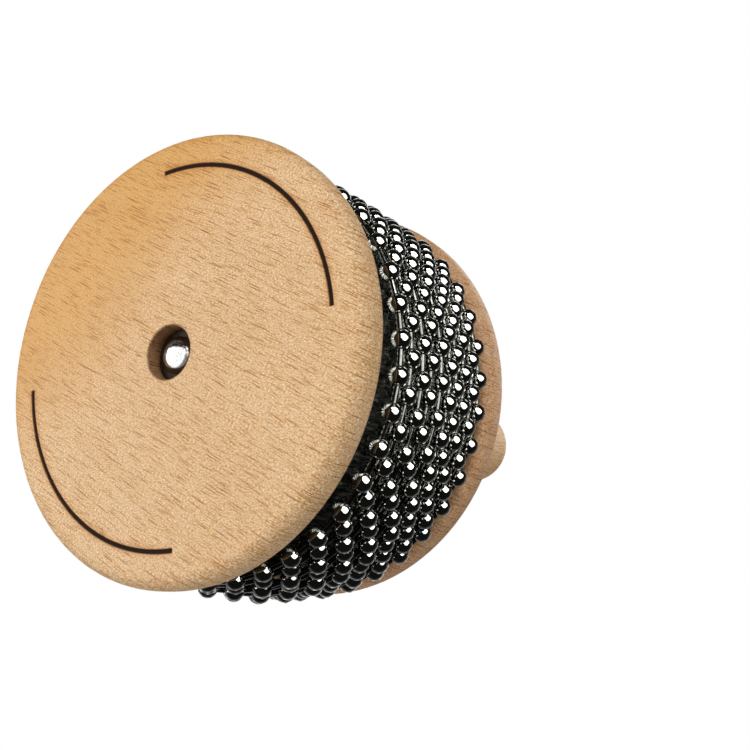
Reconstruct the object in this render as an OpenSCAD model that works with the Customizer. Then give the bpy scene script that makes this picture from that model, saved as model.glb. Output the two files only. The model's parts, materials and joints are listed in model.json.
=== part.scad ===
// Hand cabasa: two turned beech discs clamp a grooved steel drum between them, and ten loose
// loops of steel ball chain run round the drum. A centre bolt ties it all to a beech handle.
// The common axis lies along Y, with the front face towards -Y and the handle towards +Y.
// +Z is up, the loops hang down along -Z, and the origin is the middle of the handle's grip.

/* [Discs] */
// Diameter of both wooden end discs
disc_d = 125; // [122:1:150]
// Thickness of each end disc
disc_t = 10; // [9:0.5:14]
// Rounding radius of the disc edges
disc_edge_r = 3.8; // [1:0.1:4.2]
// Room round the washer in the front disc's recess for the bolt head
counterbore_room = 0.5; // [0.3:0.05:3]
// Depth of that recess
counterbore_depth = 5.5; // [5:0.1:8]
// Chamfer at the mouth of the recess
counterbore_chamfer = 0.3; // [0.1:0.1:0.6]

/* [Burned lines] */
// How far inside the disc's rim the two burned lines of the front face run
line_inset = 9.9; // [7.5:0.1:22]
// Width of a burned line
line_w = 1.2; // [0.6:0.1:2]
// Depth of a burned line
line_depth = 0.3; // [0.1:0.05:0.8]
// Angle that each line covers
line_span = 90; // [40:1:120]
// Angle from the side at which the upper line starts
line_start = 5; // [0:1:30]

/* [Drum] */
// How far the discs stand out past the core tube
rim_step = 7.5; // [6:0.5:9.5]
// Wall of the core tube
tube_wall = 3.2; // [2:0.1:6]
// Thickness of the grooved steel sheet round the tube
sleeve_t = 0.5; // [0.4:0.05:1]
// Depth of the grooves in the sheet
groove_depth = 0.25; // [0.1:0.05:0.35]
// Number of grooves round the drum
groove_count = 240; // [120:6:300]
// Width of the butt seam where the sheet's ends meet
seam_w = 0.4; // [0.2:0.1:1]

/* [Locating plugs] */
// Thickness of the plywood plug in each end of the tube
plug_t = 9; // [6:0.5:14]
// Number of screws that hold each plug to its disc
plug_screw_count = 3; // [2:1:6]
// How far inside the plug's rim the screws stand
plug_screw_inset = 16.7; // [8:0.1:30]
// Shank diameter of a plug screw
plug_screw_d = 4; // [3:0.5:5]
// How far a plug screw reaches into its disc
plug_screw_bite = 7; // [5:0.5:8]
// Head diameter of a plug screw
plug_screw_head_d = 8; // [6:0.5:9]
// Height of the countersunk head
plug_screw_head_h = 2.4; // [1.6:0.1:3]

/* [Centre bolt] */
// Thread diameter of the centre bolt
bolt_d = 6; // [5:0.5:8]
// How far the bolt reaches into the handle
bolt_reach = 14.3; // [10:0.1:25]
// Diameter of the bolt's domed head
head_d = 10.5; // [9:0.1:13.6]
// Height of the domed head
head_h = 3.3; // [2.4:0.1:5]
// Straight height of the head's rim
head_rim_h = 0.6; // [0.2:0.1:1.2]
// Diameter of the washer under the head
washer_d = 14; // [13.8:0.1:18]
// Thickness of the washer
washer_t = 1.2; // [0.8:0.1:1.6]
// Outside diameter of the threaded insert in the handle
insert_d = 10; // [9:0.5:14]
// Length of the threaded insert
insert_len = 15; // [10:0.5:25]

/* [Handle] */
// Diameter of the grip
grip_d = 30; // [24:0.5:36]
// Length of the straight grip
grip_len = 92; // [60:1:120]
// Diameter of the collar against the rear disc
collar_d = 40; // [38:0.5:50]
// Thickness of the collar
collar_t = 8; // [6:0.5:14]
// Rounding radius of the collar's rim
collar_edge_r = 2.5; // [0.5:0.1:2.9]
// Rounding radius of the handle's free end
end_round_r = 11; // [3:0.5:11.5]
// Diameter of the tenon glued into the rear disc
tenon_d = 20; // [16:0.5:28]
// Length of the tenon
tenon_len = 5; // [3:0.5:6]

/* [Bead loops] */
// Diameter of a steel ball
ball_d = 5.9; // [4.5:0.1:6.6]
// Length of a ball along its chain, between the flat ends that the links go into
ball_len = 5.1; // [3.5:0.1:5.5]
// Length of a link rod from one ball to the next
link_len = 4.35; // [3:0.05:6]
// Diameter of the link rods
link_d = 1.9; // [1:0.1:2.4]
// How far the balls of one loop reach in between those of the next
nest_depth = 1.1; // [0:0.05:1.1]
// Gap between the front disc and the first loop
front_gap = 8.65; // [1:0.05:15]
// Gap between the last loop and the rear disc
rear_gap = 2.25; // [0.3:0.05:10]
// Radius by which the loosest loop is larger than the tight fit on the drum
slack_max = 2.05; // [0:0.05:3]
// Angle of the first ball of the first loop
first_ball_angle = 0.7; // [0:0.1:9]

/* [Hidden] */
$fn = 96;
// Gap left round a part that is pushed into a hole
fit_gap = 0.05;
// Gap between the plywood plugs and the tube's bore
plug_gap = 0.1;
// Gap between the tightest ball and the drum where a loop hangs on it
hang_gap = 0.2;
// How far cutting shapes run past what they cut
over = 1;
// Space left in the handle past the bolt's tip
tip_room = 1.5;
// Length of a plug screw's pointed tip
screw_tip_h = 3;
// Diameter at the end of that tip
screw_tip_d = 0.8;
// How much looser each loop is, as a share of the loosest
slack_shares = [0.26, 0.4, 0.78, 0.72, 0.97, 1, 0.74, 0.7, 0.77, 0.69];
// How far each loop has slipped round, as a share of the angle between balls
slip_shares = [0, 0.1, 0.16, 0.28, 0.34, 0.37, 0.31, 0.34, 0.36, 0.35];
loop_count = len(slack_shares);
steel = [0.34, 0.34, 0.35];
beech = [0.85, 0.68, 0.48];
// The drum is as wide as the loops and the gaps beside them need
row_pitch = ball_d - nest_depth;
drum_w = front_gap + ball_d + (loop_count - 1) * row_pitch + rear_gap;
// Places along the axis, counted from the front face
drum_start = disc_t;
rear_disc_start = drum_start + drum_w;
handle_start = rear_disc_start + disc_t;
grip_start = handle_start + collar_t + (collar_d - grip_d) / 2;
grip_middle = grip_start + grip_len / 2;
bolt_seat = counterbore_depth - washer_t;
bolt_len = handle_start + bolt_reach - bolt_seat;
plug_screw_len = plug_t + plug_screw_bite;
// Radii that follow from the sizes above
disc_r = disc_d / 2;
counterbore_r = washer_d / 2 + counterbore_room;
line_r = disc_r - line_inset;
tube_r = disc_r - rim_step;
plug_r = tube_r - tube_wall - plug_gap;
plug_screw_circle_r = plug_r - plug_screw_inset;
sleeve_in_r = tube_r + fit_gap;
sleeve_r = sleeve_in_r + sleeve_t;
bolt_hole_r = bolt_d / 2 + fit_gap;
// A loop with no slack holds as many balls as fit round the drum
tight_r = sleeve_r + hang_gap + ball_d / 2;
balls_per_loop = round(2 * PI * tight_r / (ball_len + link_len));
ball_step = 360 / balls_per_loop;
cove_r = (collar_d - grip_d) / 2;
head_cap_h = head_h - head_rim_h;
head_dome_r = (pow(head_d / 2, 2) + pow(head_cap_h, 2)) / (2 * head_cap_h);

// Radius by which a loop is larger than the tight fit, which is also how far it hangs down
function loop_slack(i) = slack_max * slack_shares[i];
function loop_r(i) = tight_r + loop_slack(i);
function loop_place(i) = drum_start + front_gap + ball_d / 2 + i * row_pitch;
function loop_angle(i) = first_ball_angle + (slip_shares[i] + (i % 2) / 2) * ball_step;

// Places a shape built up along its own z at a distance behind the front face
module along_axis(distance) {
    translate([0, distance - grip_middle, 0]) rotate([-90, 0, 0]) children();
}

module ring(inner_r, outer_r, length) {
    difference() {
        cylinder(r = outer_r, h = length);
        translate([0, 0, -over]) cylinder(r = inner_r, h = length + 2 * over);
    }
}

// Disc with both edges rounded, as turned on a lathe
module turned_disc() {
    rotate_extrude() {
        square([disc_r - disc_edge_r, disc_t]);
        translate([0, disc_edge_r]) square([disc_r, disc_t - 2 * disc_edge_r]);
        for (z = [disc_edge_r, disc_t - disc_edge_r])
            intersection() {
                translate([disc_r - disc_edge_r, z]) circle(r = disc_edge_r);
                square([disc_r, disc_t]);
            }
    }
}

module on_screw_circle() {
    for (k = [0 : plug_screw_count - 1])
        rotate(90 + k * 360 / plug_screw_count) translate([plug_screw_circle_r, 0, 0]) children();
}

// Countersunk screw with its head's flat at z = 0 and its shank along +z
module plug_screw(gap) {
    cylinder(d1 = plug_screw_head_d + 2 * gap, d2 = plug_screw_d + 2 * gap, h = plug_screw_head_h);
    cylinder(d = plug_screw_d + 2 * gap, h = plug_screw_len - screw_tip_h + gap);
    translate([0, 0, plug_screw_len - screw_tip_h + gap])
        cylinder(d1 = plug_screw_d + 2 * gap, d2 = screw_tip_d + 2 * gap, h = screw_tip_h);
}

module front_disc_screws(gap) {
    translate([0, 0, disc_t + plug_t]) mirror([0, 0, 1]) on_screw_circle() plug_screw(gap);
}

module rear_disc_screws(gap) {
    translate([0, 0, rear_disc_start - plug_t]) on_screw_circle() plug_screw(gap);
}

// Groove that a burned line leaves in the face, from one angle round to another
module burned_line(start) {
    translate([0, 0, -over]) rotate(-start - line_span) rotate_extrude(angle = line_span)
        translate([line_r - line_w / 2, 0]) square([line_w, line_depth + over]);
}

module front_disc() {
    mouth_r = counterbore_r + counterbore_chamfer;
    color(beech) along_axis(0) difference() {
        turned_disc();
        translate([0, 0, -over]) cylinder(r = counterbore_r, h = counterbore_depth + over);
        cylinder(r1 = mouth_r, r2 = counterbore_r, h = counterbore_chamfer);
        translate([0, 0, -over]) cylinder(r = bolt_hole_r, h = disc_t + 2 * over);
        burned_line(line_start);
        burned_line(line_start + 180);
        front_disc_screws(fit_gap);
    }
}

module rear_disc() {
    color(beech) along_axis(rear_disc_start) difference() {
        turned_disc();
        translate([0, 0, -over]) cylinder(r = bolt_hole_r, h = disc_t + 2 * over);
        translate([0, 0, disc_t - tenon_len - fit_gap]) cylinder(r = tenon_d / 2 + fit_gap, h = disc_t);
        translate([0, 0, -rear_disc_start]) rear_disc_screws(fit_gap);
    }
}

module core_tube() {
    color([0.55, 0.55, 0.53]) along_axis(drum_start) ring(tube_r - tube_wall, tube_r, drum_w);
}

// Sheet with fine grooves along the drum, rolled round the tube and butted at the bottom
module grooved_sleeve() {
    step = 180 / groove_count;
    rim = [for (k = [0 : 2 * groove_count - 1])
        (sleeve_r - (k % 2) * groove_depth) * [cos(k * step), sin(k * step)]];
    color([0.24, 0.24, 0.25]) along_axis(drum_start) difference() {
        linear_extrude(drum_w) polygon(rim);
        translate([0, 0, -over]) cylinder(r = sleeve_in_r, h = drum_w + 2 * over, $fn = 720);
        translate([-seam_w / 2, 0, -over]) cube([seam_w, sleeve_r + over, drum_w + 2 * over]);
    }
}

module front_plug() {
    color([0.78, 0.66, 0.5]) along_axis(0) difference() {
        translate([0, 0, disc_t]) ring(bolt_hole_r, plug_r, plug_t);
        front_disc_screws(fit_gap);
    }
}

module rear_plug() {
    color([0.78, 0.66, 0.5]) along_axis(0) difference() {
        translate([0, 0, rear_disc_start - plug_t]) ring(bolt_hole_r, plug_r, plug_t);
        rear_disc_screws(fit_gap);
    }
}

module front_plug_screws() {
    color([0.8, 0.7, 0.42]) along_axis(0) front_disc_screws(0);
}

module rear_plug_screws() {
    color([0.8, 0.7, 0.42]) along_axis(0) rear_disc_screws(0);
}

module centre_bolt() {
    color([0.8, 0.8, 0.82]) along_axis(bolt_seat) {
        cylinder(d = bolt_d, h = bolt_len);
        mirror([0, 0, 1]) {
            cylinder(d = head_d, h = head_rim_h);
            intersection() {
                cylinder(d = head_d, h = head_h);
                translate([0, 0, head_h - head_dome_r]) sphere(r = head_dome_r);
            }
        }
    }
}

module front_washer() {
    color([0.5, 0.48, 0.45]) along_axis(bolt_seat) ring(bolt_hole_r, washer_d / 2, washer_t);
}

module handle_insert() {
    color([0.75, 0.62, 0.3]) along_axis(handle_start - tenon_len)
        ring(bolt_hole_r, insert_d / 2, insert_len);
}

// Turned handle: tenon, collar with rounded rims, cove, straight grip and rounded end
module handle() {
    grip_r = grip_d / 2;
    cove_z = collar_t + cove_r;
    grip_end = cove_z + grip_len;
    hole_depth = max(insert_len - tenon_len, bolt_reach) + tip_room;
    color(beech) along_axis(handle_start) difference() {
        rotate_extrude() {
            translate([0, -tenon_len]) square([tenon_d / 2, tenon_len + collar_t]);
            square([collar_d / 2 - collar_edge_r, collar_t]);
            translate([0, collar_edge_r]) square([collar_d / 2, collar_t - 2 * collar_edge_r]);
            for (z = [collar_edge_r, collar_t - collar_edge_r])
                intersection() {
                    translate([collar_d / 2 - collar_edge_r, z]) circle(r = collar_edge_r);
                    square([collar_d / 2, collar_t]);
                }
            difference() {
                square([grip_r + cove_r - collar_edge_r, cove_z]);
                translate([grip_r + cove_r, cove_z]) circle(r = cove_r);
            }
            square([grip_r, grip_end]);
            square([grip_r - end_round_r, grip_end + end_round_r]);
            intersection() {
                translate([grip_r - end_round_r, grip_end]) circle(r = end_round_r);
                square([grip_r, grip_end + end_round_r]);
            }
        }
        translate([0, 0, -tenon_len - over]) cylinder(r = bolt_hole_r, h = hole_depth + tenon_len + over);
        translate([0, 0, -tenon_len - over])
            cylinder(r = insert_d / 2 + fit_gap, h = insert_len + over);
    }
}

// Ball with two flat ends, which look along the chain on both sides
module chain_ball() {
    intersection() {
        sphere(d = ball_d, $fn = 24);
        cube([2 * ball_d, ball_len, 2 * ball_d], center = true);
    }
}

// Closed loop of balls joined by straight link rods, hanging from the top of the drum
module bead_loop(i) {
    r = loop_r(i);
    chord = 2 * r * sin(ball_step / 2);
    color(steel) along_axis(loop_place(i)) translate([0, loop_slack(i), 0])
        for (k = [0 : balls_per_loop - 1])
            rotate(-loop_angle(i) - k * ball_step) {
                translate([r, 0, 0]) chain_ball();
                rotate(ball_step / 2) translate([r * cos(ball_step / 2), chord / 2, 0])
                    rotate([90, 0, 0]) cylinder(d = link_d, h = chord, $fn = 16);
            }
}

front_disc();
rear_disc();
core_tube();
grooved_sleeve();
front_plug();
rear_plug();
front_plug_screws();
rear_plug_screws();
centre_bolt();
front_washer();
handle_insert();
handle();
bead_loop(0);  // bead_loop_01
bead_loop(1);  // bead_loop_02
bead_loop(2);  // bead_loop_03
bead_loop(3);  // bead_loop_04
bead_loop(4);  // bead_loop_05
bead_loop(5);  // bead_loop_06
bead_loop(6);  // bead_loop_07
bead_loop(7);  // bead_loop_08
bead_loop(8);  // bead_loop_09
bead_loop(9);  // bead_loop_10
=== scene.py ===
import json
import math

import bpy
import numpy as np
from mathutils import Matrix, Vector

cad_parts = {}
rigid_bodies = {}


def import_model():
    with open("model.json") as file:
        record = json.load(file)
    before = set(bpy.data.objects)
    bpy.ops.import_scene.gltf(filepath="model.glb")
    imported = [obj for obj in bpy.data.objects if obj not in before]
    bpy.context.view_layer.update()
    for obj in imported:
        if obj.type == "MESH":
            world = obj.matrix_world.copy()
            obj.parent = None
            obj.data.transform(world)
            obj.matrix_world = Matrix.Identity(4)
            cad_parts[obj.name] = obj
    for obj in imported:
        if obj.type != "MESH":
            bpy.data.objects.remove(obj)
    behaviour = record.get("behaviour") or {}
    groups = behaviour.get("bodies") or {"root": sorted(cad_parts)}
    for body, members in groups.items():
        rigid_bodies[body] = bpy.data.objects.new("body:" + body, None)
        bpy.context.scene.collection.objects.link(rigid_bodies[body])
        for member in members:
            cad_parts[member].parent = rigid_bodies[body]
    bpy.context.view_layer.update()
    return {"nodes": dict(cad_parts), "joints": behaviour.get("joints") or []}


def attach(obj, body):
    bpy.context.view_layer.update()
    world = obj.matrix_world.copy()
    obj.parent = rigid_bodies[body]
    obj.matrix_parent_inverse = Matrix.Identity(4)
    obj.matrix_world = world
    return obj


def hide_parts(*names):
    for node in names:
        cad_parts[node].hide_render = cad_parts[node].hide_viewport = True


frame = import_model()
scene = bpy.context.scene
nodes = frame["nodes"]
joints = {joint["child"]: joint for joint in frame["joints"]}
mm = 0.001  # lengths are metres, so a length in millimetres is written as a number times this

# camera: the photograph's own viewing angle, worked out from the outlines of the two discs
cameraSettings = {
    "place": (0.18063, -0.33053, -0.06623),
    "look": (-0.50459, 0.83307, 0.22687),
    "lensMm": 47.73,
    "sensorMm": 36,
    "nearest": 0.01,
}


def placeCamera(s):
    camera = bpy.data.objects.new("camera", bpy.data.cameras.new("camera"))
    scene.collection.objects.link(camera)
    camera.location = s["place"]
    camera.rotation_euler = Vector(s["look"]).to_track_quat("-Z", "Y").to_euler()
    camera.data.sensor_width = s["sensorMm"]
    camera.data.lens = s["lensMm"]
    camera.data.clip_start = s["nearest"]
    scene.camera = camera


placeCamera(cameraSettings)
scene.view_settings.view_transform = "Standard"
print("camera placed")


# feeds a node's sockets, each from another node's output, written as (node, socket), or with a value;
# a colour is written as three numbers
def feed(tree, node, terms):
    for name, term in terms.items():
        socket = node.inputs[name]
        if isinstance(term, tuple) and isinstance(term[0], bpy.types.Node):
            tree.links.new(term[0].outputs[term[1]], socket)
        elif socket.type == "RGBA":
            socket.default_value = (*term, 1)
        else:
            socket.default_value = term


def addNode(tree, kind, terms=None, **options):
    made = tree.nodes.new(kind)
    for name, value in options.items():
        setattr(made, name, value)
    feed(tree, made, terms or {})
    return made


def mathNode(tree, operation, *terms, clamp=False):
    made = addNode(tree, "ShaderNodeMath", dict(enumerate(terms)), operation=operation, use_clamp=clamp)
    return (made, "Value")


def vectorNode(tree, operation, *terms):
    made = addNode(tree, "ShaderNodeVectorMath", dict(enumerate(terms)), operation=operation)
    return (made, "Value" if operation in ("LENGTH", "DOT_PRODUCT") else "Vector")


def noiseNode(tree, vector, settings, socket=0):
    return (addNode(tree, "ShaderNodeTexNoise", {"Vector": vector, **settings}), socket)


# a value that goes from low to high while a share goes from 0 to 1
def spanNode(tree, share, low, high):
    return mathNode(tree, "MULTIPLY_ADD", share, high - low, low)


# smooth step of a value: 0 at low, 1 at high, or the other way round when low is above high
def rampNode(tree, value, low, high):
    ends = (low, high, 0.0, 1.0) if low < high else (high, low, 1.0, 0.0)
    terms = dict(zip(("From Min", "From Max", "To Min", "To Max"), ends))
    made = addNode(tree, "ShaderNodeMapRange", {"Value": value, **terms}, interpolation_type="SMOOTHSTEP")
    return (made, 0)


# a Mix node's colour sockets have numbers here, because its other sockets share their names
mixSockets = {"factor": 0, "first": 6, "second": 7, "result": 2}


def mixColour(tree, factor, first, second, blend="MIX"):
    terms = {mixSockets["factor"]: factor, mixSockets["first"]: first, mixSockets["second"]: second}
    made = addNode(tree, "ShaderNodeMix", terms, data_type="RGBA", blend_type=blend)
    return (made, mixSockets["result"])


# a colour times a tint, as far as a mask allows
def tinted(tree, mask, base, tint):
    return mixColour(tree, mask, base, mixColour(tree, 1.0, base, tint, "MULTIPLY"))


def objectPlace(tree):
    return (addNode(tree, "ShaderNodeTexCoord"), "Object")


# a vector's x, y and z as three outputs
def partsOf(tree, vector):
    parts = addNode(tree, "ShaderNodeSeparateXYZ", {0: vector})
    return [(parts, k) for k in range(3)]


# the distance from the origin along the axes that are kept, each 1 or 0
def distanceAlong(tree, kept):
    return vectorNode(tree, "LENGTH", vectorNode(tree, "MULTIPLY", objectPlace(tree), kept))


# the vector divided by a cell's three lengths, so that a pattern of size 1 fills the cell
def stretched(tree, vector, cell):
    return vectorNode(tree, "MULTIPLY", vector, [1 / length for length in cell])


floatSocket, colourSocket, vectorSocket = "NodeSocketFloat", "NodeSocketColor", "NodeSocketVector"
surfaceSockets = {"Color": colourSocket, "Roughness": floatSocket, "Height": floatSocket}


# a shader group that gives a surface's colour, roughness and height
def newGroup(name, inputs):
    tree = bpy.data.node_groups.new(name, "ShaderNodeTree")
    for way, sockets in (("INPUT", inputs), ("OUTPUT", surfaceSockets)):
        for label, kind in sockets.items():
            tree.interface.new_socket(label, in_out=way, socket_type=kind)
    return tree, tree.nodes.new("NodeGroupInput"), tree.nodes.new("NodeGroupOutput")


def newMaterial(name):
    material = bpy.data.materials.new(name)
    material.use_nodes = True
    tree = material.node_tree
    tree.nodes.clear()
    shader = tree.nodes.new("ShaderNodeBsdfPrincipled")
    addNode(tree, "ShaderNodeOutputMaterial", {"Surface": (shader, 0)})
    return material, tree, shader


# sRGB numbers from 0 to 255, to the linear colour that a shader takes
def colour(red, green, blue):
    share = np.array([red, green, blue]) / 255
    linear = np.where(share <= 0.04045, share / 12.92, ((share + 0.055) / 1.055) ** 2.4)
    return tuple(float(x) for x in linear)


print("shader helpers ready")

# beech: X of the group's vector runs along the fibres, Y outwards from the heart, Z across
beechSettings = {
    "longFleck": (13.0 * mm, 0.52 * mm),   # the length and width of the cell that holds one fleck
    "fineFleck": (7.0 * mm, 0.42 * mm),
    "fineShare": 0.75,                     # how strong the fine flecks are beside the long ones
    "fleckSize": 0.2,                      # as a share of the cell
    "fleckKept": 0.9,                      # the share of the cells that hold one
    "fleckReach": (0.6, 1.4),              # the shortest and the longest, times the size
    "fleckDepth": (0.4, 1.0),              # the faintest and the darkest
    "fleckEdge": (1.0, 0.55),              # where a fleck begins and where it is full, times the size
    "stainEdge": (2.4, 0.5),               # the same for the stain round it
    "stainTint": (0.98, 0.84, 0.6),
    "rayDepth": 2.5 * mm,
    "rayEnds": (0.38, 0.46),               # the noise values between which a ray ends
    "rayNoise": {"Scale": 1.0, "Detail": 0.0},
    "bend": (0, 0, 1.2 * mm),              # how far the fibres wave
    "bendNoise": {"Scale": 60.0, "Detail": 1.0},
    "fibreCell": (14.0 * mm, 2.0 * mm, 0.3 * mm),
    "fibreNoise": {"Scale": 1.0, "Detail": 3.0, "Roughness": 0.6},
    "fibreTone": 0.45,                     # how much the fibres change the tone, either way
    "fibreHeight": 0.35,
    "cloudNoise": {"Scale": 28.0, "Detail": 3.0},
    "cloudTone": 0.25,                     # the same for wide clouds in the wood
    "middleTone": 0.42,                    # of plain wood, from pale at 0 to deep at 1
    "speckleCell": (0.65 * mm, 0.5 * mm, 0.3 * mm),
    "speckleNoise": {"Scale": 1.0, "Detail": 2.0},
    "speckleMiddle": 0.5,
    "sandTint": (1.0, 1.8, 2.7),           # how much the sandy mottling changes red, green and blue
    "ringStep": 9.0 * mm,
    "ringWander": 3.0 * mm,
    "ringNoise": {"Scale": 12.0, "Detail": 1.0},
    "ringRise": (0.1, 0.92),               # a ring darkens slowly over its width
    "ringFall": (1.0, 0.93),               # and turns pale again at once
    "heartDepth": 90.0 * mm,
    "heartTilt": 0.1,
    "roughness": (0.5, 0.62),              # of the palest and the deepest wood
}


# flecks: the wood's rays, ribbons that run outwards from the heart, so they are a flat Voronoi
# pattern of long cells; a dash round each point, of its own length, is kept on a share of the cells,
# and slow noise ends each ribbon after a few millimetres. The second mask is the wider stain.
def fleckMasks(tree, vector, cell, s):
    long, thin = cell
    parts = partsOf(tree, vector)
    flat = addNode(tree, "ShaderNodeCombineXYZ", {
        "X": mathNode(tree, "DIVIDE", parts[0], long),
        "Y": mathNode(tree, "DIVIDE", parts[2], thin)})
    pattern = addNode(tree, "ShaderNodeTexVoronoi", {"Vector": (flat, 0), "Scale": 1.0},
                      voronoi_dimensions="2D")
    chance = addNode(tree, "ShaderNodeSeparateColor", {"Color": (pattern, "Color")})
    kept = mathNode(tree, "LESS_THAN", (chance, "Red"), s["fleckKept"])
    reach = spanNode(tree, (chance, "Blue"), *s["fleckReach"])
    away = mathNode(tree, "DIVIDE", (pattern, "Distance"), reach)
    ends = noiseNode(tree, stretched(tree, vector, (long, s["rayDepth"], thin)), s["rayNoise"])
    depth = spanNode(tree, (chance, "Green"), *s["fleckDepth"])
    depth = mathNode(tree, "MULTIPLY", depth, rampNode(tree, ends, *s["rayEnds"]))
    depth = mathNode(tree, "MULTIPLY", depth, kept)
    masks = []
    for outer, inner in (s["fleckEdge"], s["stainEdge"]):
        mask = rampNode(tree, away, s["fleckSize"] * outer, s["fleckSize"] * inner)
        masks.append(mathNode(tree, "MULTIPLY", mask, depth))
    return masks


# growth rings: the distance to a heart line that leans a little, bent by slow noise
def ringPattern(tree, vector, s):
    wander = noiseNode(tree, vector, s["ringNoise"])
    fibreWay, heartWay, acrossWay = partsOf(tree, vector)
    lean = mathNode(tree, "MULTIPLY_ADD", fibreWay, s["heartTilt"], s["heartDepth"])
    deep = mathNode(tree, "ADD", heartWay, lean)
    squares = [mathNode(tree, "POWER", side, 2.0) for side in (deep, acrossWay)]
    radius = mathNode(tree, "SQRT", mathNode(tree, "ADD", *squares))
    bent = mathNode(tree, "MULTIPLY_ADD", wander, s["ringWander"], radius)
    turn = mathNode(tree, "FRACT", mathNode(tree, "DIVIDE", bent, s["ringStep"]))
    rise, fall = (rampNode(tree, turn, *s[edge]) for edge in ("ringRise", "ringFall"))
    return mathNode(tree, "MULTIPLY", rise, fall)


def makeBeechGroup(s):
    tree, given, out = newGroup("beechFigure", {
        "Vector": vectorSocket, "Pale": colourSocket, "Deep": colourSocket, "Fleck": colourSocket,
        "Fleck Amount": floatSocket, "Ring Amount": floatSocket, "Sand Amount": floatSocket,
    })
    straight = (given, "Vector")
    wave = noiseNode(tree, straight, s["bendNoise"], "Color")
    place = vectorNode(tree, "MULTIPLY_ADD", wave, s["bend"], straight)
    fibre = noiseNode(tree, stretched(tree, place, s["fibreCell"]), s["fibreNoise"])
    speckle = noiseNode(tree, stretched(tree, place, s["speckleCell"]), s["speckleNoise"])
    cloud = noiseNode(tree, place, s["cloudNoise"])
    rings = mathNode(tree, "MULTIPLY", ringPattern(tree, place, s), (given, "Ring Amount"))
    long, longStain = fleckMasks(tree, place, s["longFleck"], s)
    fine, fineStain = fleckMasks(tree, place, s["fineFleck"], s)

    # the wood's tone between pale and deep
    tone = spanNode(tree, fibre, -s["fibreTone"], s["fibreTone"])
    tone = mathNode(tree, "ADD", tone, spanNode(tree, cloud, -s["cloudTone"], s["cloudTone"]))
    tone = mathNode(tree, "ADD", tone, rings)
    tone = mathNode(tree, "ADD", tone, s["middleTone"], clamp=True)
    wood = mixColour(tree, tone, (given, "Pale"), (given, "Deep"))

    # sandy mottling, which changes blue the most, then the stains and the flecks
    sandy = mathNode(tree, "SUBTRACT", speckle, s["speckleMiddle"])
    sandy = mathNode(tree, "MULTIPLY", sandy, (given, "Sand Amount"))
    grains = vectorNode(tree, "MULTIPLY_ADD", sandy, s["sandTint"], (1, 1, 1))
    wood = mixColour(tree, 1.0, wood, grains, "MULTIPLY")
    stains = mathNode(tree, "ADD", longStain, fineStain, clamp=True)
    wood = tinted(tree, stains, wood, s["stainTint"])
    marks = mathNode(tree, "ADD", long, mathNode(tree, "MULTIPLY", fine, s["fineShare"]), clamp=True)
    marks = mathNode(tree, "MULTIPLY", marks, (given, "Fleck Amount"), clamp=True)
    wood = mixColour(tree, marks, wood, (given, "Fleck"))

    height = mathNode(tree, "SUBTRACT", mathNode(tree, "MULTIPLY", fibre, s["fibreHeight"]), marks)
    feed(tree, out, {"Color": wood, "Roughness": spanNode(tree, tone, *s["roughness"]), "Height": height})
    return tree


beechFigure = makeBeechGroup(beechSettings)

beechFinish = {
    "tones": {"Pale": colour(240, 203, 157), "Deep": colour(224, 180, 131), "Fleck": colour(122, 62, 22)},
    "relief": {"Strength": 0.08, "Distance": 0.08 * mm},
    "specular": 0.35,
}


# the beech group on the object's own place, turned and shifted into the directions of the fibres
def placeBeech(tree, shader, turn, shift, ringAmount):
    grain = addNode(tree, "ShaderNodeMapping", {
        "Vector": objectPlace(tree), "Rotation": turn, "Location": shift}, vector_type="POINT")
    figure = addNode(tree, "ShaderNodeGroup", {
        "Vector": (grain, 0), "Ring Amount": ringAmount, **beechFinish["tones"]}, node_tree=beechFigure)
    bump = addNode(tree, "ShaderNodeBump", {"Height": (figure, "Height"), **beechFinish["relief"]})
    feed(tree, shader, {"Normal": (bump, 0), "Specular IOR Level": beechFinish["specular"]})
    return figure


# the two discs: boards whose fibres lie in the XZ plane
discSettings = {
    "grainTurn": (0, math.radians(-29), 0),  # the fibres run down to the right across the front face
    "rings": 0.16,
    "flecks": (0.82, 0.7),                   # how strong they are on the pale side and on the amber side
    "sand": (1.45, 0.85),                    # the same for the sandy mottling
}
discBoards = {                               # the rear board's tint is painted shade, darker and redder; the board has its own flecks and rings
    "discBeech": {"tint": (1.0, 1.0, 1.0), "shift": (0, 0, 0)},
    "rearBeechPaintedShade": {"tint": (0.8, 0.72, 0.72), "shift": (0.05, 0, 0.03)},
}
amberSide = {
    "tint": (0.93, 0.77, 0.44),              # the board's older side is this much deeper in each colour
    "reach": (0.0, -46.0 * mm),              # where it begins and where it is full
    "paleWay": (0.61, -0.79),                # the way in x and z along which it turns pale
    "noise": {"Scale": 22.0, "Detail": 1.0},
    "wander": 12.0 * mm,                     # how far that noise bends it either way
}
burnedLines = {
    "radius": 52.6 * mm,
    "halfWidth": 0.68 * mm,
    "blur": 0.25 * mm,
    "middle": math.radians(50),              # the middle of one line, from X towards Z
    "halfSpan": math.radians(45),
    "endBlur": 0.004,                        # how softly a line ends, as a part of a cosine
    "frontFace": -138.5 * mm,                # the lines are only on the wood in front of this
    "tint": colour(42, 17, 2),
    "roughness": 0.9,
    "haloWidth": 2.4 * mm,
    "halo": (0.9, 0.78, 0.62),               # the scorched wood beside a line
}
paintedInnerShade = {                                # painted shade on the front board's side towards the drum, between these places in y
    "from": -129.3 * mm,
    "to": -120.0 * mm,
    "tint": (0.5, 0.44, 0.4),
}
recessShade = {                                   # painted shade darkens the recess's raw wall
    "radius": 7.7 * mm,
    "blur": 0.5 * mm,
    "tint": colour(112, 80, 54),
}


# how far a place lies along a way across the disc's face, given as its x and z
def acrossFace(tree, parts, way):
    terms = [mathNode(tree, "MULTIPLY", part, share) for part, share in zip(parts[::2], way)]
    return mathNode(tree, "ADD", *terms)


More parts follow.
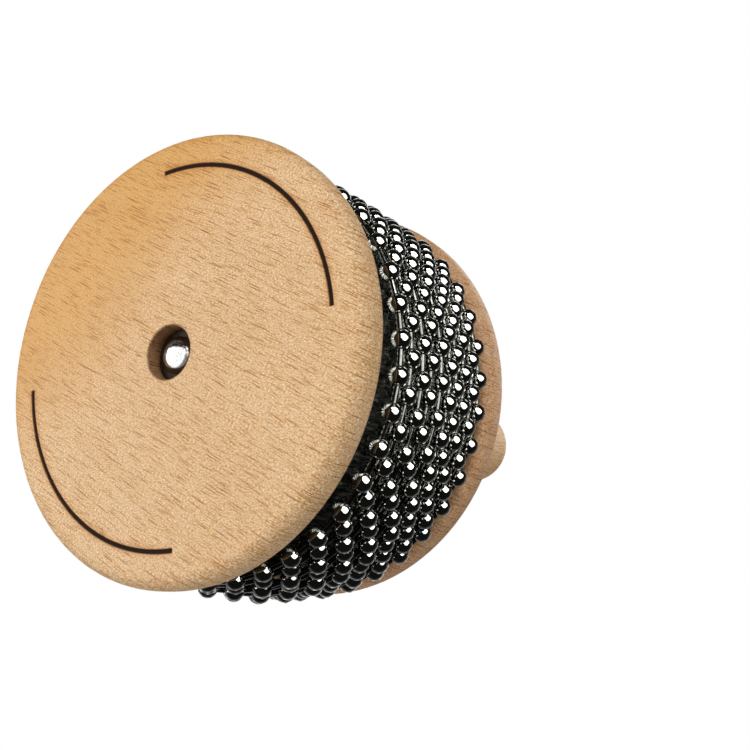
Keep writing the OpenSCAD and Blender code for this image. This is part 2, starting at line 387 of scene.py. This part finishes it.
# one side of the board is older and more amber: a share from 0 to 1 across it, bent by noise
def amberShare(tree, parts, s):
    drift = noiseNode(tree, objectPlace(tree), s["noise"])
    bent = spanNode(tree, drift, -s["wander"], s["wander"])
    return rampNode(tree, mathNode(tree, "ADD", acrossFace(tree, parts, s["paleWay"]), bent), *s["reach"])


# masks of the two burned lines and of the scorched wood beside them: near their circle, within their
# span on either side, and on the front face only
def burnedMasks(tree, parts, radius, s):
    offCircle = mathNode(tree, "ABSOLUTE", mathNode(tree, "SUBTRACT", radius, s["radius"]))
    line = rampNode(tree, offCircle, s["halfWidth"] + s["blur"], s["halfWidth"] - s["blur"])
    halo = rampNode(tree, offCircle, s["haloWidth"], s["halfWidth"])
    side = acrossFace(tree, parts, (math.cos(s["middle"]), math.sin(s["middle"])))
    facing = mathNode(tree, "DIVIDE", mathNode(tree, "ABSOLUTE", side), radius)
    limit = math.cos(s["halfSpan"])
    inSpan = rampNode(tree, facing, limit - s["endBlur"], limit + s["endBlur"])
    place = mathNode(tree, "MULTIPLY", inSpan, mathNode(tree, "LESS_THAN", parts[1], s["frontFace"]))
    return [mathNode(tree, "MULTIPLY", mask, place) for mask in (line, halo)]


def makeDiscBeech(name, board):
    material, tree, shader = newMaterial(name)
    figure = placeBeech(tree, shader, discSettings["grainTurn"], board["shift"], discSettings["rings"])
    parts = partsOf(tree, objectPlace(tree))
    radius = distanceAlong(tree, (1, 0, 1))
    amber = amberShare(tree, parts, amberSide)
    feed(tree, figure, {"Fleck Amount": spanNode(tree, amber, *discSettings["flecks"]),
                        "Sand Amount": spanNode(tree, amber, *discSettings["sand"])})
    burned, halo = burnedMasks(tree, parts, radius, burnedLines)
    # painted shade in the recess: inside its radius, blurred at the edge
    hole = rampNode(tree, radius, recessShade["radius"] + recessShade["blur"], recessShade["radius"] - recessShade["blur"])
    # painted shade on the front board's side towards the drum, between two places in y
    inner = mathNode(tree, "MULTIPLY", mathNode(tree, "LESS_THAN", parts[1], paintedInnerShade["to"]),
                     mathNode(tree, "GREATER_THAN", parts[1], paintedInnerShade["from"]))
    wood = tinted(tree, amber, (figure, "Color"), amberSide["tint"])
    # the board's tint, which on the rear board is painted shade
    wood = mixColour(tree, 1.0, wood, board["tint"], "MULTIPLY")
    for mask, shade in ((hole, recessShade["tint"]), (halo, burnedLines["halo"]), (inner, paintedInnerShade["tint"])):
        wood = tinted(tree, mask, wood, shade)
    wood = mixColour(tree, burned, wood, burnedLines["tint"])
    rough = addNode(tree, "ShaderNodeMix", {
        "Factor": burned, "A": (figure, "Roughness"), "B": burnedLines["roughness"]}, data_type="FLOAT")
    feed(tree, shader, {"Base Color": wood, "Roughness": (rough, 0)})
    return material


# the handle: turned from a piece whose fibres run along Y
handleSettings = {
    "grainTurn": (0, 0, math.radians(-90)),
    "shift": (0, 0.02, 0),
    "rings": 0.3,
    "flecks": 0.8,
    "sand": 0.8,
}


def makeHandleBeech(name, s):
    material, tree, shader = newMaterial(name)
    figure = placeBeech(tree, shader, s["grainTurn"], s["shift"], s["rings"])
    feed(tree, figure, {"Fleck Amount": s["flecks"], "Sand Amount": s["sand"]})
    feed(tree, shader, {"Base Color": (figure, "Color"), "Roughness": (figure, "Roughness")})
    return material


woods = {name: makeDiscBeech(name, board) for name, board in discBoards.items()}
woods["handleBeech"] = makeHandleBeech("handleBeech", handleSettings)

# metals: smudges, stretched to streaks on the sleeve, that change the gloss and the tone a little
wearSettings = {
    "noise": {"Detail": 3.0, "Roughness": 0.55},
    "patch": (0.42, 0.68),      # the noise values between which a smudge begins and is full
    "tint": (0.62, 0.6, 0.58),
    "roughness": 0.16,          # added where the metal is worn
    "reliefDepth": 0.05 * mm,
}


def makeMetalGroup(s):
    tree, given, out = newGroup("metalWear", {
        "Vector": vectorSocket, "Color": colourSocket, "Roughness": floatSocket,
        "Smudge Size": floatSocket, "Smudge Amount": floatSocket,
    })
    scale = mathNode(tree, "DIVIDE", 1.0, (given, "Smudge Size"))
    smudge = noiseNode(tree, (given, "Vector"), {"Scale": scale, **s["noise"]})
    worn = mathNode(tree, "MULTIPLY", rampNode(tree, smudge, *s["patch"]), (given, "Smudge Amount"))
    tone = tinted(tree, worn, (given, "Color"), s["tint"])
    rough = mathNode(tree, "MULTIPLY_ADD", worn, s["roughness"], (given, "Roughness"))
    feed(tree, out, {"Color": tone, "Roughness": rough, "Height": smudge})
    return tree


metalWear = makeMetalGroup(wearSettings)

# where a metal has a cell, its pattern is stretched to it, and its smudge counts in cells. The bolt's
# head has painted shade towards its rim: from the first of two radii to the second, and beyond, a tint
# darkens it.
metalSettings = {
    "beadNickel": {"tone": (0.42, 0.42, 0.395), "roughness": 0.03, "smudge": 1.6 * mm, "wear": 0.25},
    "rodNickel": {"tone": (0.11, 0.11, 0.104), "roughness": 0.12, "smudge": 0.5 * mm, "wear": 0.6,
                  "relief": 0.4},
    "sleeveSteel": {"tone": (0.3, 0.3, 0.29), "roughness": 0.18, "smudge": 1.0, "wear": 0.8,
                    "relief": 0.25, "cell": (1.6 * mm, 40.0 * mm, 1.6 * mm)},
    "boltZinc": {"tone": (0.93, 0.94, 0.95), "roughness": 0.12, "smudge": 0.6 * mm, "wear": 0.8,
                 "relief": 0.4, "rim": {"radii": (3.7 * mm, 4.2 * mm), "tint": (0.22, 0.2, 0.19)}},
    # the washer's dark brown tone is painted shade and a painted reflection of the wood round it
    "washerZincPaintedShade": {"tone": (0.1, 0.075, 0.06), "roughness": 0.6, "smudge": 0.8 * mm, "wear": 0.6,
                   "relief": 0.4},
    "brass": {"tone": (0.62, 0.46, 0.2), "roughness": 0.3, "smudge": 1.5 * mm, "wear": 0.5},
}


def makeMetal(name, s):
    material, tree, shader = newMaterial(name)
    vector = stretched(tree, objectPlace(tree), s["cell"]) if "cell" in s else objectPlace(tree)
    wear = addNode(tree, "ShaderNodeGroup", {
        "Vector": vector, "Color": s["tone"], "Roughness": s["roughness"],
        "Smudge Size": s["smudge"], "Smudge Amount": s["wear"]}, node_tree=metalWear)
    tone = (wear, "Color")
    # painted shade: a tint darkens the bolt's head towards its rim, a painted dark reflection of the
    # recess's shaded wall
    if "rim" in s:
        rim = rampNode(tree, distanceAlong(tree, (1, 0, 1)), *s["rim"]["radii"])
        tone = tinted(tree, rim, tone, s["rim"]["tint"])
    if "relief" in s:
        relief = addNode(tree, "ShaderNodeBump", {
            "Height": (wear, "Height"), "Strength": s["relief"], "Distance": wearSettings["reliefDepth"]})
        feed(tree, shader, {"Normal": (relief, 0)})
    feed(tree, shader, {"Base Color": tone, "Roughness": (wear, "Roughness"), "Metallic": 1.0})
    return material


metals = {name: makeMetal(name, s) for name, s in metalSettings.items()}

# the hidden core: a plastic pipe and plywood plugs, each mottled with a darker shade of its own tone
coreSettings = {
    "pipePlastic": {"tone": colour(140, 140, 136), "roughness": 0.55},
    "plyWood": {"tone": colour(200, 172, 132), "roughness": 0.7},
}
coreMottle = {"noise": {"Scale": 900.0, "Detail": 3.0}, "darkShare": 0.8}


def makeCoreFinish(name, s):
    material, tree, shader = newMaterial(name)
    mottle = noiseNode(tree, objectPlace(tree), coreMottle["noise"])
    darker = tuple(coreMottle["darkShare"] * x for x in s["tone"])
    feed(tree, shader, {"Base Color": mixColour(tree, mottle, s["tone"], darker),
                        "Roughness": s["roughness"]})
    return material


cores = {name: makeCoreFinish(name, s) for name, s in coreSettings.items()}
materials = {**woods, **metals, **cores}
print("materials made")

finishes = {
    "front_disc": "discBeech", "rear_disc": "rearBeechPaintedShade", "handle": "handleBeech",
    "grooved_sleeve": "sleeveSteel", "centre_bolt": "boltZinc", "front_washer": "washerZincPaintedShade",
    "core_tube": "pipePlastic", "front_plug": "plyWood", "rear_plug": "plyWood",
    "front_plug_screws": "brass", "rear_plug_screws": "brass", "handle_insert": "brass",
}
for name, finish in finishes.items():
    nodes[name].data.materials.clear()
    nodes[name].data.materials.append(materials[finish])
print("frame pieces dressed")

xWay, yWay, zWay = np.eye(3)


# the direction that lies a turn away from the first one, towards the second
def turned(turn, first, second):
    return np.cos(turn)[..., None] * first + np.sin(turn)[..., None] * second


# each vector divided by its length
def unit(vectors):
    return vectors / np.linalg.norm(vectors, axis=-1, keepdims=True)


# the four corners of each cell in rows of points, where every row closes on itself, and where the
# last row meets the first one again when the rows are closed too
def gridFaces(rows, columns, closedRows):
    low = np.arange(rows)[:, None] * columns + np.arange(columns)
    nextSide = np.roll(low, -1, axis=1)
    faces = np.stack([low, nextSide, np.roll(nextSide, -1, 0), np.roll(low, -1, 0)], -1)
    return faces[:rows if closedRows else rows - 1].reshape(-1, 4)


def newPiece(name, points, faces, *finish):
    mesh = bpy.data.meshes.new(name)
    mesh.from_pydata(np.asarray(points).tolist(), [], np.asarray(faces).tolist())
    for material in finish:
        mesh.materials.append(material)
    piece = bpy.data.objects.new(name, mesh)
    scene.collection.objects.link(piece)
    return piece


# bead loops: a closed chain of balls and straight link rods, laid out as the frame's loops are
beadSettings = {
    "ballRadius": 2.95 * mm,
    "endFlat": 2.55 * mm,      # the balls are cut off this far from their middle, along the chain
    "flatBevel": 0.02,         # the angle from the cut's edge to the first ring on the sphere
    "holeDepth": 0.2 * mm,     # how far the rim turns in round the rod
    "rimRadius": 1.3 * mm,
    "rodRadius": 0.95 * mm,
    "ballsPerLoop": 39,
    "tightRadius": 58.7 * mm,  # ball centres of a loop that would hug the drum
    "firstBall": math.radians(0.7),
    "slipShares": (0, 0.1, 0.16, 0.28, 0.34, 0.37, 0.31, 0.34, 0.36, 0.35),
    "segments": 12,
    "bands": 4,
}


# a ball's profile from rod to rod, in rows of distance along the chain, radius, and the same two for
# the surface normal: the hole's inner edge, its rim, even steps on the sphere, and the mirrored rest
def beadProfile(s):
    r, flat = s["ballRadius"], s["endFlat"]
    polar = np.linspace(math.acos(flat / r) + s["flatBevel"], math.pi / 2, s["bands"] // 2 + 1)
    sphere = np.stack([-r * np.cos(polar), r * np.sin(polar), -np.cos(polar), np.sin(polar)], -1)
    slope = math.sqrt(0.5)  # the hole's edge looks halfway between the rod and the chain's way
    rim = [[s["holeDepth"] - flat, s["rodRadius"], -slope, -slope], [-flat, s["rimRadius"], -1, 0]]
    half = np.concatenate([np.array(rim), sphere])
    return np.concatenate([half, half[-2::-1] * (-1, 1, -1, 1)])


# A loop is rings of that profile, each square to a direction that turns from the incoming rod to the
# outgoing one; the next ball's first ring closes the rod. Point = loop centre + ball centre
# + along * ahead + wide * ring, where ahead is the chain's direction and ring goes round it, beginning
# at the side away from the drum. The slip is how far the loop is turned, as a share of a ball's step.
def loopShape(centre, slip, s):
    count, segments = s["ballsPerLoop"], s["segments"]
    step = 2 * math.pi / count
    angle = (s["firstBall"] + slip * step + step * np.arange(count))[:, None, None]
    along, wide, slopeAlong, slopeWide = beadProfile(s).T[:, None, :, None, None]
    rings = along.shape[1]
    turn = angle + along[..., 0] / s["endFlat"] * step / 2
    outward = turned(turn, xWay, zWay)
    ahead = turned(turn, zWay, -xWay)
    ring = turned(np.linspace(0, 2 * math.pi, segments, endpoint=False), outward, yWay)
    slack = -centre[2]  # a loose loop is larger by as much as it hangs down
    balls = (s["tightRadius"] + slack) * turned(angle, xWay, zWay)
    points = (centre + balls + along * ahead + wide * ring).reshape(-1, 3)
    faces = gridFaces(count * rings, segments, True)
    isRod = (np.arange(count * rings) % rings == rings - 1).repeat(segments)
    ballNormal = (slopeAlong * ahead + slopeWide * ring).reshape(-1, 3)
    rodNormal = ring.reshape(-1, 3)
    normals = np.where(isRod[:, None, None], rodNormal[faces], ballNormal[faces])
    return points, faces, isRod, unit(normals.reshape(-1, 3))


def makeBeadLoop(index, s):
    body = f"loop_{index + 1:02d}"
    centre = np.array(joints[body]["pos_m"], float)
    nested = (index % 2) / 2  # every other loop is half a step further round
    points, faces, isRod, normals = loopShape(centre, s["slipShares"][index] + nested, s)
    finish = materials["beadNickel"], materials["rodNickel"]
    piece = newPiece(f"beadLoop{index + 1:02d}", points, faces, *finish)
    mesh = piece.data
    mesh.polygons.foreach_set("material_index", isRod.astype(np.int32))  # 0 for a ball, 1 for a rod
    mesh.polygons.foreach_set("use_smooth", np.ones(len(faces), bool))
    mesh.normals_split_custom_set(normals.tolist())
    mesh.update()
    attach(piece, body)
    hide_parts(f"bead_loop_{index + 1:02d}")


for index in range(len(beadSettings["slipShares"])):
    makeBeadLoop(index, beadSettings)
print("bead loops made")

# stage: a pale floor below the hanging object, white where it is far off, and a plain light room
stageSettings = {
    "floorHeight": -0.32,
    "floorSize": 30.0,
    "shadowReach": (0.35, 0.9),  # the floor takes shadows up to the first distance from the origin
    "floorTone": 0.82,
    "floorRoughness": 0.9,
    "roomLight": 0.15,
}
pureWhite = (1, 1, 1)
pureBlack = (0, 0, 0)


# 1 for the rays that show the stage to the camera, in a mirror or through glass, 0 for those that light
def seenMask(tree):
    path = addNode(tree, "ShaderNodeLightPath")
    seen = mathNode(tree, "MAXIMUM", (path, "Is Camera Ray"), (path, "Is Glossy Ray"))
    return mathNode(tree, "MAXIMUM", seen, (path, "Is Transmission Ray"))


# matt and pale where it takes the shadow, and plain white light further off
def makePaleFloor(s):
    material, tree, shader = newMaterial("paleFloor")
    feed(tree, shader, {"Base Color": (s["floorTone"],) * 3, "Roughness": s["floorRoughness"],
                        "Specular IOR Level": 0.0})
    far = rampNode(tree, distanceAlong(tree, (1, 1, 0)), *s["shadowReach"])
    white = addNode(tree, "ShaderNodeEmission", {"Strength": 1.0})
    share = mathNode(tree, "MULTIPLY", far, seenMask(tree))
    mixed = addNode(tree, "ShaderNodeMixShader", {0: share, 1: (shader, 0), 2: (white, 0)})
    output = next(n for n in tree.nodes if n.type == "OUTPUT_MATERIAL")
    feed(tree, output, {"Surface": (mixed, 0)})
    return material


# a square whose corners are half its size away from the middle in x and y
def makeFloor(s):
    half = s["floorSize"] / 2
    signs = ((-1, -1), (1, -1), (1, 1), (-1, 1))
    corners = [(x * half, y * half, s["floorHeight"]) for x, y in signs]
    floor = newPiece("floor", corners, [(0, 1, 2, 3)], makePaleFloor(s))


def lightRoom(s):
    world = bpy.data.worlds.new("room")
    scene.world = world
    world.use_nodes = True
    tree = world.node_tree
    tree.nodes.clear()
    light, white = (addNode(tree, "ShaderNodeBackground", {"Color": pureWhite, "Strength": strength})
                    for strength in (s["roomLight"], 1.0))
    mixed = addNode(tree, "ShaderNodeMixShader", {0: seenMask(tree), 1: (light, 0), 2: (white, 0)})
    addNode(tree, "ShaderNodeOutputWorld", {"Surface": (mixed, 0)})


# the dark half of the studio, painted into reflections: a shell round the camera's side and a mat on the
# floor, which only mirror-bright metal shows
darkSettings = {
    "radius": 2.6,
    "reach": math.radians(140),   # how far the shell comes round from the camera's side
    "steps": 32,
    "matHeight": -0.31,
    "least": 0.001,               # keeps the shell's tip open, and a level way from a division by 0
    "darkTo": math.radians(85),   # from here to the reach it begins to glow
    "darkGlow": 0.012,
    "edgeGlow": 0.3,
    "glowBand": (0.25, -0.2),     # the glow grows between these z parts of the way from the drum
    "topGlow": 0.06,              # the share of it that is left above them
}
drumMiddle = Vector((0, -0.1, 0))
cameraSide = (Vector(cameraSettings["place"]) - drumMiddle).normalized()


# Point = middle of the drum + distance * towards, where towards fans out from the camera's side up to
# the reach, and the distance stops at the mat's height.
def darkShape(s):
    across = cameraSide.orthogonal().normalized()
    third = cameraSide.cross(across)
    rows, columns = s["steps"], s["steps"] * 2
    spread = np.linspace(s["least"], s["reach"], rows)[:, None]
    around = np.linspace(0, 2 * math.pi, columns, endpoint=False)
    towards = turned(spread, np.array(cameraSide), turned(around, np.array(across), np.array(third)))
    drop = np.minimum(towards[..., 2:], -s["least"])
    distance = np.minimum(s["radius"], s["matHeight"] / drop)
    points = (np.array(drumMiddle) + distance * towards).reshape(-1, 3)
    return points, gridFaces(rows, columns, False)


# a black sheet seen only in mirrors: painted dark reflections, with a painted glow towards the shell's
# edge, and more so low down
def makeMirrorOnlySheet(s):
    material, tree, shader = newMaterial("mirrorOnlySheet")
    way = vectorNode(tree, "NORMALIZE", vectorNode(tree, "SUBTRACT", objectPlace(tree), drumMiddle))
    ahead = vectorNode(tree, "DOT_PRODUCT", way, cameraSide)
    edge = rampNode(tree, ahead, math.cos(s["darkTo"]), math.cos(s["reach"]))
    low = rampNode(tree, partsOf(tree, way)[2], *s["glowBand"])
    edge = mathNode(tree, "MULTIPLY", edge, spanNode(tree, low, s["topGlow"], 1))
    feed(tree, shader, {"Base Color": pureBlack, "Specular IOR Level": 0.0, "Emission Color": pureWhite,
                        "Emission Strength": spanNode(tree, edge, s["darkGlow"], s["edgeGlow"])})
    return material


def makeDarkHalf(s):
    shell = newPiece("darkHalf", *darkShape(s), makeMirrorOnlySheet(s))
    for seen in ("camera", "diffuse", "shadow", "transmission", "volume_scatter"):
        setattr(shell, "visible_" + seen, False)


# lamps: each shines at the middle of the drum, or at the bolt's head. One that has a list of finishes
# shines on their pieces alone, so that the bright pane, say, draws no streak on the wood.
boltMiddle = Vector((0, -0.136, 0))
lampDefaults = {"distance": 1.0, "roll": 0, "tint": pureWhite, "diffuse": True, "target": drumMiddle}
lampSettings = {
    "windowPane": {"towards": (0.93, -0.30, 0.20), "distance": 0.78, "size": 0.88, "watts": 13.0,
                   "roll": 45, "tint": (0.98, 1.0, 0.94), "diffuse": False,
                   "only": ("beadNickel", "sleeveSteel", "boltZinc", "washerZincPaintedShade")},
    "front": {"towards": (-0.7, -0.7, 0.14), "size": 0.8, "watts": 6.25},
    "back": {"towards": (0.35, 0.85, 0.4), "size": 0.8, "watts": 4.0,
             "only": ("rearBeechPaintedShade", "handleBeech")},
    "key": {"towards": (0.6, -0.55, 0.59), "size": 0.3, "watts": 4.1},
    "side": {"towards": (0.93, -0.32, 0.2), "size": 0.3, "watts": 1.2, "tint": (0.93, 0.97, 1.0)},
    "boltGlow": {"towards": (-0.22, -0.88, -0.46), "distance": 0.12, "size": 0.55, "watts": 1.1,
                 "diffuse": False, "target": boltMiddle, "only": ("boltZinc",)},
}


def shineOn(lamp, chosen):
    lit = bpy.data.collections.new(lamp.name + "Pieces")
    for piece in list(scene.objects):
        if piece.type == "MESH" and any(slot.material in chosen for slot in piece.material_slots):
            lit.objects.link(piece)
    lamp.light_linking.receiver_collection = lit


def hangLamp(name, s):
    lamp = bpy.data.lights.new(name, "AREA")
    lamp.shape = "SQUARE"
    lamp.size = s["size"]
    lamp.energy = s["watts"]
    lamp.color = s["tint"]
    made = bpy.data.objects.new(name, lamp)
    scene.collection.objects.link(made)
    towards = Vector(s["towards"]).normalized()
    made.location = s["target"] + towards * s["distance"]
    turn = (-towards).to_track_quat("-Z", "Y").to_euler()
    turn.rotate_axis("Z", math.radians(s["roll"]))
    made.rotation_euler = turn
    made.visible_diffuse = s["diffuse"]
    made.visible_camera = False
    if "only" in s:
        shineOn(made, [materials[finish] for finish in s["only"]])


makeFloor(stageSettings)
makeDarkHalf(darkSettings)
lightRoom(stageSettings)
for name, s in lampSettings.items():
    hangLamp(name, {**lampDefaults, **s})
print("stage lit")
